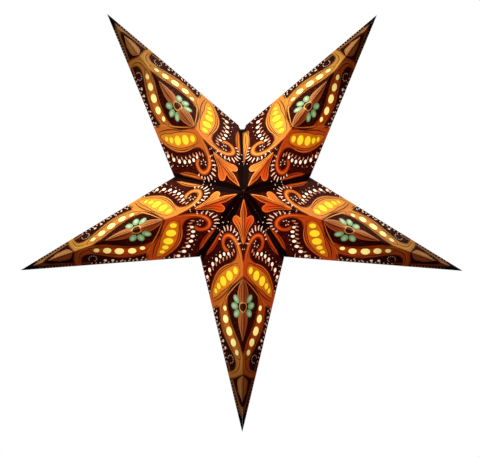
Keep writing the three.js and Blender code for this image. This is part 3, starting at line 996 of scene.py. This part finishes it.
def build_star():
    for face, side, relief in ((-1, "front", 0.0), (1, "back", FOLD_RELIEF)):
        plain = build_master(side, relief, False)
        tied = build_master(f"{side}_tied", relief, True) if face > 0 else plain
        lining = build_lining(f"{side}_lining", relief, 0.0)
        seam_lining = build_lining(f"{side}_seam_lining", relief, SEAM_MARGIN)
        for sector in range(1, 2 * ARMS + 1):
            at_seam = sector in SEAM_SECTORS
            body = f"{side}_{sector:02d}"
            panel = place_facet(
                tied if at_seam else plain, f"{side}_print_{sector:02d}", sector, face)
            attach(panel, body)
            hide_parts(f"{side}_panel_{sector:02d}")
            pane = place_facet(
                seam_lining if at_seam else lining, f"{side}_lining_{sector:02d}", sector, face)
            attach(pane, body)
            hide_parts(f"{side}_tissue_{sector:02d}")
        masters = plain + lining + seam_lining + (tied if face > 0 else [])
        for layer in masters:
            discard(layer)


build_star()

# ---------------------------------------------------------------- flap, eyelets and ties


def seam_spot(distance, inset_by, lift=0.0):
    """A point beside the seam, from the top notch along it, in from it and above the card."""
    notch = facet_corners()[1].xy
    to_apex = -notch.normalized()
    spot = notch + to_apex * distance + Vector((-to_apex.y, to_apex.x)) * inset_by
    return Vector((spot.x, spot.y, lift))


def seam_line(*places):
    """Points beside the seam, each from its distance and its inset."""
    return [seam_spot(*place).xy for place in places]


def build_seam_flap():
    """The printed tuck-in flap that hides the front seam, with a leaf along it."""
    start, end, gap = 12.0, 82.9, 0.78
    outline = seam_line(
        (start, gap), (start, 9.8), (start + 3, 10.9), (30, 9.9), (47, 8.6), (60, 6.3),
        (72, 3.4), (end, gap))
    leaf = flowing(seam_line(
        (15, 4.6), (19, 7.6), (28, 8.2), (38, 7.0), (46, 4.6), (56, 2.6), (46, 1.9), (34, 2.0),
        (22, 2.4)))
    vein = brush(seam_line((18, 5.0), (32, 4.8), (50, 2.6)), 1.0)
    rule = brush(seam_line((15, 9.6), (30, 8.9), (46, 7.4), (66, 3.4)), 0.9)
    layers = [
        flat_shapes(f"flap_{layer}", [shape], low, high, card_ink[ink])
        for layer, shape, low, high, ink in (
            ("card", outline, 0.30, 0.53, "russet"), ("leaf", leaf, 0.52, 0.56, "flame"),
            ("face", inset(leaf, 0.9), 0.55, 0.58, "orange"),
            ("vein", vein, 0.57, 0.595, "umber"), ("rule", rule, 0.52, 0.56, "gold"))]
    flap = place_facet(layers, "seam_flap_print", 1, -1)
    for layer in layers:
        discard(layer)
    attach(flap, "front_01")
    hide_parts("seam_flap")


EYELET_PROFILE = [
    (1.40, -0.80), (1.62, -0.86), (1.95, -0.80), (2.00, -0.66), (2.00, 0.30), (3.35, 0.30),
    (3.60, 0.40), (3.52, 0.56), (3.10, 0.68), (2.50, 0.70), (1.95, 0.64), (1.55, 0.46),
    (1.40, 0.20),
]
STRAND = 0.36
STRAND_OFFSET = 0.33  # from the middle of the string to the middle of a strand
TWIST_PITCH = 5.2
STRING_RADIUS = 0.7
KNOT_RADIUS = 2.0
KNOT_HEIGHT = 3.927  # above the card
TAIL_LENGTH = 9.0


def twisted(path, name):
    """Two strands laid round each other along a path in millimetres."""
    dense = []
    for first, second in zip(path, path[1:]):
        steps = max(2, round((second - first).length / 0.45))
        dense += [first.lerp(second, k / steps) for k in range(steps)]
    dense.append(path[-1])
    last = len(dense) - 1
    strands = []
    for phase in (0.0, math.pi):
        travelled, points = 0.0, []
        for i, spot in enumerate(dense):
            along = (dense[min(i + 1, last)] - dense[max(i - 1, 0)]).normalized()
            side = along.orthogonal().normalized() * STRAND_OFFSET
            angle = phase + 2 * math.pi * travelled / TWIST_PITCH
            points.append(spot + Matrix.Rotation(angle, 3, along) @ side)
            travelled += (dense[min(i + 1, last)] - spot).length
        strands.append(wire(f"{name}_strand", points, STRAND, string_fibre))
    return join(strands, name)


def knot_path(middle, along):
    """A flat overhand knot about a point, its turns lying round the string."""
    side = along.orthogonal().normalized()
    other = along.cross(side)
    steps, turns, length, radius = 48, 2.5, 2.4, 1.1
    points = []
    for k in range(steps + 1):
        share = k / steps
        turn = 2 * math.pi * turns * share
        points.append(
            middle + along * length * (share - 0.5)
            + (side * math.cos(turn) + other * math.sin(turn)) * radius)
    return points


def build_tie(level, station, hand, sector):
    """An eyelet with its half of the tie; the right half carries the knot and tails."""
    place = facet_place(sector, 1)[0]
    spot = seam_spot(station, EYELET_INSET)
    eyelet = lathe(f"{level}_eyelet_ring_{hand}", EYELET_PROFILE, brass, 32,
                   place @ Matrix.Translation(spot), 50.0)
    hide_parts(f"{level}_eyelet_{hand}")
    knotted = hand == "right"
    end_gap = (KNOT_RADIUS if knotted else STRING_RADIUS) + HALF_GAP / math.sin(VALLEY_LEAN)
    middle = seam_spot(station, KNOT_HEIGHT / math.tan(VALLEY_LEAN) + end_gap, KNOT_HEIGHT)
    path = [seam_spot(station, *step) for step in (
        (EYELET_INSET, -0.45), (EYELET_INSET, 1.0), (7.2, 1.7), (6.0, 2.7))] + [middle]
    parts = [twisted(path, f"{level}_tie_string_{hand}")]
    if knotted:
        away = facet_corners()[1].normalized()
        parts.append(wire("knot", knot_path(middle, away), 0.72, string_fibre, 3))
        for side in (-1, 1):
            tail = [middle + away * side * TAIL_LENGTH * share
                    + Vector((0.0, 0.0, math.sin(share * math.pi) * 2 * STRING_RADIUS))
                    for share in (0.0, 0.25, 0.5, 0.75, 0.97)]
            parts.append(twisted(tail, "tail"))
    tie = put(join(parts, f"{level}_tie_string_{hand}"), place, 60.0)
    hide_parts(f"{level}_tie_{hand}")
    for piece in (eyelet, tie):
        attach(piece, f"back_{sector:02d}")


build_seam_flap()
for tie_level, tie_station in EYELET_STATIONS.items():
    build_tie(tie_level, tie_station, "right", 1)
    build_tie(tie_level, tie_station, "left", 10)

# ---------------------------------------------------------------- the light


def heights(node):
    """Lowest and highest point of a CAD node, in millimetres."""
    low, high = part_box(node)
    return low[2] / MM, high[2] / MM


def light_piece(piece, node, body):
    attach(piece, body)
    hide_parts(node)


def ribs(base, crest, low, high, count):
    """Points up an outside wall that carries count rounded ribs."""
    points, pitch = [], (high - low) / count
    for k in range(count):
        foot = low + pitch * k
        points += [(base, foot + 0.12 * pitch), (crest, foot + 0.32 * pitch),
                   (crest, foot + 0.68 * pitch), (base, foot + 0.88 * pitch)]
    return points


GLOBE_RADIUS, GLOBE_WALL, NECK_RADIUS = 22.0, 0.8, 6.2
GLOBE_STEPS, NECK_SHARE = 24, 0.155  # the globe stops this share of a half turn from its top
COIL_WIRE, COIL_RADIUS, COIL_TURNS, COIL_STEPS = 0.09, 0.36, 34, 400
COIL_SPAN, COIL_SAG = 4.7, 9.2


def coil_path(top):
    """The filament: a fine coil that hangs in an arch between its two supports."""
    points = []
    for k in range(COIL_STEPS + 1):
        share = k / COIL_STEPS
        bend, turn = math.pi * share, 2 * math.pi * COIL_TURNS * share
        outward = Vector((-math.cos(bend), 0.0, -math.sin(bend)))
        spine = Vector((COIL_SPAN * outward.x, 0.0, top + COIL_SAG * outward.z))
        across = outward * math.cos(turn) + Vector((0.0, math.sin(turn), 0.0))
        points.append(spine + across * COIL_RADIUS)
    return points


def build_light():
    low, high = heights("cord_gland")
    gland = lathe("gland_nut", [
        (3.3, low + 0.4), (3.6, low), (4.1, low), (4.5, low + 0.5),
        *ribs(4.15, 4.5, low + 0.8, high - 4.0, 7), (4.5, high - 3.6), (4.5, high - 0.8),
        (4.2, high), (3.6, high), (3.3, high - 0.3)], black_plastic, 48)
    light_piece(gland, "cord_gland", "light_unit")

    low, high = heights("rest_disc")
    disc = lathe("rest_disc_board", [
        (4.85, low + 0.15), (5.0, low), (9.8, low), (10.0, low + 0.3), (10.0, high - 0.3),
        (9.8, high), (5.0, high), (4.85, high - 0.15)], grey_board, 64)
    light_piece(disc, "rest_disc", "light_unit")

    low, high = heights("lampholder_cap")
    cap = lathe("lampholder_dome", [
        (12.4, low), (13.7, low), (14.0, low + 0.3), *ribs(13.6, 14.0, low + 0.4, low + 3.0, 3),
        (13.95, low + 3.2), (13.5, low + 4.6), (12.5, low + 6.0), (11.0, low + 8.6),
        (9.2, low + 11.6), (8.6, low + 12.6), (8.0, high), (4.9, high), (4.8, high - 0.2),
        (4.8, high - 1.6), (6.4, high - 1.6), (10.9, low + 4.5), (12.4, low + 3.4)],
        black_plastic, 64)
    light_piece(cap, "lampholder_cap", "light_unit")

    low, high = heights("lampholder_body")
    body = lathe("lampholder_skirt", [
        (9.4, low + 0.3), (9.7, low), (12.4, low), (13.4, low + 0.7), (14.0, low + 1.6),
        *ribs(13.45, 14.0, low + 2.4, high - 12.0, 9), (14.0, high - 11.2), (14.0, high - 0.4),
        (13.6, high), (9.7, high), (9.4, high - 0.3)], black_plastic, 64)
    light_piece(body, "lampholder_body", "light_unit")

    low, high = heights("contact_block")
    block = lathe("contact_disc", [
        (0.0, low + 1.2), (2.2, low + 1.2), (2.4, low + 0.8), (2.4, low), (8.6, low),
        (9.0, low + 0.5), (9.0, high - 0.6), (8.4, high), (0.0, high)], ceramic, 48)
    stud = lathe("contact_stud", [
        (0.0, low + 0.15), (1.2, low + 0.2), (1.8, low + 0.7), (1.8, low + 1.3),
        (0.0, low + 1.3)], brass, 24)
    light_piece(join([block, stud], "contact_disc"), "contact_block", "light_unit")

    low, high = heights("bulb_cap")
    thread = []
    for k in range(5):
        crest = low + 1.6 + 2.6 * k
        thread += [(6.1, crest - 0.95), (6.7, crest - 0.4), (6.9, crest), (6.7, crest + 0.4),
                   (6.1, crest + 0.95)]
    shell = lathe("bulb_thread", [
        (5.85, low), (6.3, low), *thread, (6.2, high - 4.4), (5.4, high - 3.4),
        (4.2, high - 2.6), (4.2, high - 3.0), (5.0, high - 3.8), (5.75, high - 4.8),
        (5.75, low + 0.4)], nickel, 48, None, 60.0)
    insulator = lathe("bulb_insulator", [
        (0.0, high - 2.95), (4.15, high - 2.95), (4.1, high - 2.4), (2.6, high - 0.9),
        (0.0, high - 0.7)], dark_glass, 32)
    tip = lathe("bulb_contact", [
        (0.0, high - 1.2), (2.2, high - 1.0), (2.3, high - 0.5), (1.6, high - 0.1),
        (0.0, high)], solder, 24, None, 60.0)
    light_piece(join([shell, insulator, tip], "bulb_screw_cap"), "bulb_cap", "bulb")

    low, high = heights("bulb_glass")
    middle = low + GLOBE_RADIUS
    outside, inside = [(0.0, low)], [(0.0, low + GLOBE_WALL)]
    for k in range(1, GLOBE_STEPS + 1):
        angle = math.pi * (1 - k / GLOBE_STEPS * (1 - NECK_SHARE))
        for line, radius in ((outside, GLOBE_RADIUS), (inside, GLOBE_RADIUS - GLOBE_WALL)):
            line.append((radius * math.sin(angle), middle + radius * math.cos(angle)))
    outside += [(8.2, high - 1.9), (6.9, high - 1.0), (NECK_RADIUS, high)]
    inside += [(7.4, high - 2.4), (6.1, high - 1.3), (NECK_RADIUS - GLOBE_WALL, high)]
    globe = lathe("bulb_globe", outside + inside[::-1], clear_glass, 48, None, 180.0)
    light_piece(globe, "bulb_glass", "bulb")

    low, high = heights("bulb_filament")
    stem = lathe("filament_stem", [
        (0.0, high), (1.9, high), (1.9, high - 1.2), (1.2, high - 3.2), (0.9, high - 8.0),
        (1.5, high - 9.6), (1.6, high - 10.8), (0.9, high - 11.9), (0.0, high - 12.0)],
        clear_glass, 24, None, 60.0)
    wires = []
    for side in (-1, 1):
        spots = ((0.6, high - 10.5), (2.2, high - 16), (4.6, high - 22), (4.7, low + 10.5))
        points = [Vector((side * out, 0.0, height)) for out, height in spots]
        wires.append(wire("support", points, 0.22, steel))
    wires.append(wire("coil", coil_path(low + 10.3), COIL_WIRE, hot_wire, 1))
    wires = [put(piece) for piece in wires]
    light_piece(join([stem] + wires, "filament_mount"), "bulb_filament", "bulb")


build_light()
